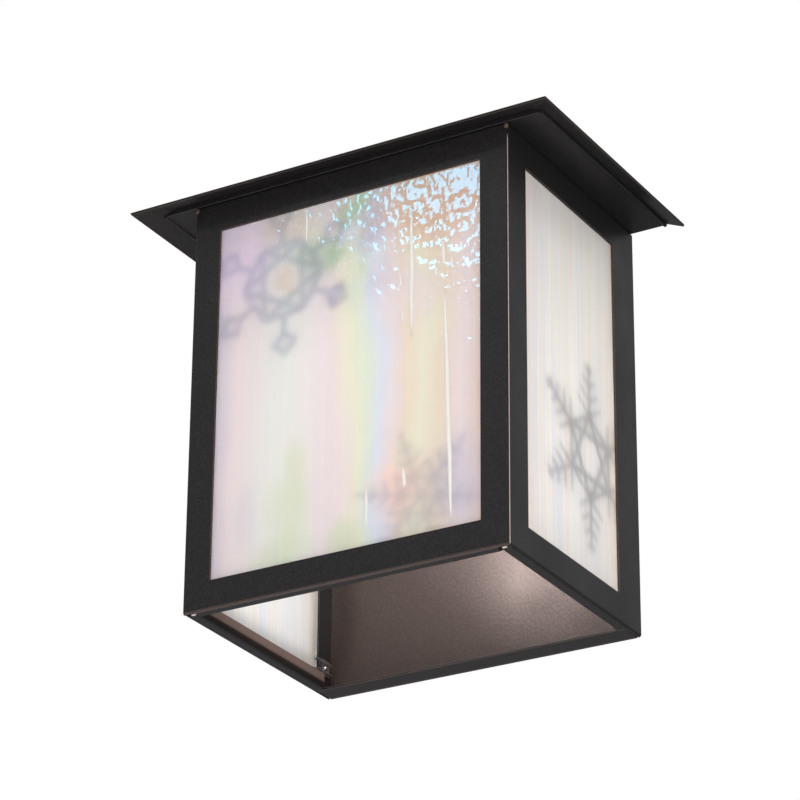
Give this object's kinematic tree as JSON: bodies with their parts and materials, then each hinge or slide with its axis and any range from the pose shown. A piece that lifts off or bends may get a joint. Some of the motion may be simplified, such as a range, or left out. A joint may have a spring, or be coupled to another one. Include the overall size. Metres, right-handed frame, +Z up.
{
  "type": "outdoor wall lantern",
  "caption": "Wall-mounted outdoor lantern of dark bronze sheet steel: opal glass windows with cut-out snowflakes behind them, an open foot and a low hipped roof.",
  "frame": {"origin": "centre of the two outlet-box screw holes, on the back face of the back plate", "axes": "+X to the right as seen from the room, +Y into the wall, +Z up"},
  "size_m": [0.304, 0.1905, 0.343],
  "materials": {
    "bronze_paint": "dark bronze powder coat, satin",
    "art_glass": "iridescent opal art glass, streaky and slightly rippled",
    "flake_sheet": "thin cut-out sheet, dull grey",
    "spring_steel": "spring steel",
    "zinc_steel": "zinc plated",
    "porcelain": "white glaze",
    "brass": "plain brass",
    "cap_aluminium": "pressed cap",
    "black_insulator": "black vitrite",
    "frosted_glass": "frosted",
    "black_bushing": "nylon",
    "ground_green": "green ground screw"
  },
  "bodies": {
    "lantern": {"front_frame": "bronze_paint", "right_frame": "bronze_paint", "left_frame": "bronze_paint", "back_plate": "bronze_paint", "back_rim": "bronze_paint", "soffit_plate": "bronze_paint", "roof": "bronze_paint", "roof_back": "bronze_paint", "front_glass": "art_glass", "right_glass": "art_glass", "left_glass": "art_glass", "snowflake_upper": "flake_sheet", "snowflake_lower": "flake_sheet", "snowflake_right": "flake_sheet", "snowflake_left": "flake_sheet", "front_glass_clips": "spring_steel", "side_glass_clips": "spring_steel", "rear_glass_clips": "spring_steel", "clip_studs": "zinc_steel", "clip_nuts": "zinc_steel", "clip_rivets": "zinc_steel", "soffit_screws": "zinc_steel", "soffit_nuts": "zinc_steel", "lamp_nipple": "zinc_steel", "lock_nuts": "zinc_steel", "ground_washer": "zinc_steel", "lampholder": "porcelain", "screw_shell": "brass", "centre_contact": "brass", "wire_bushing": "black_bushing", "ground_screw": "ground_green"},
    "bulb": {"bulb_contact": "brass", "bulb_insulator": "black_insulator", "bulb_base": "cap_aluminium", "bulb_glass": "frosted_glass"}
  },
  "joints": [
    {"name": "bulb_slide", "type": "slide", "parent": "lantern", "child": "bulb", "axis": [0, 0, -1], "range_m": [0, 0.03]}
  ]
}
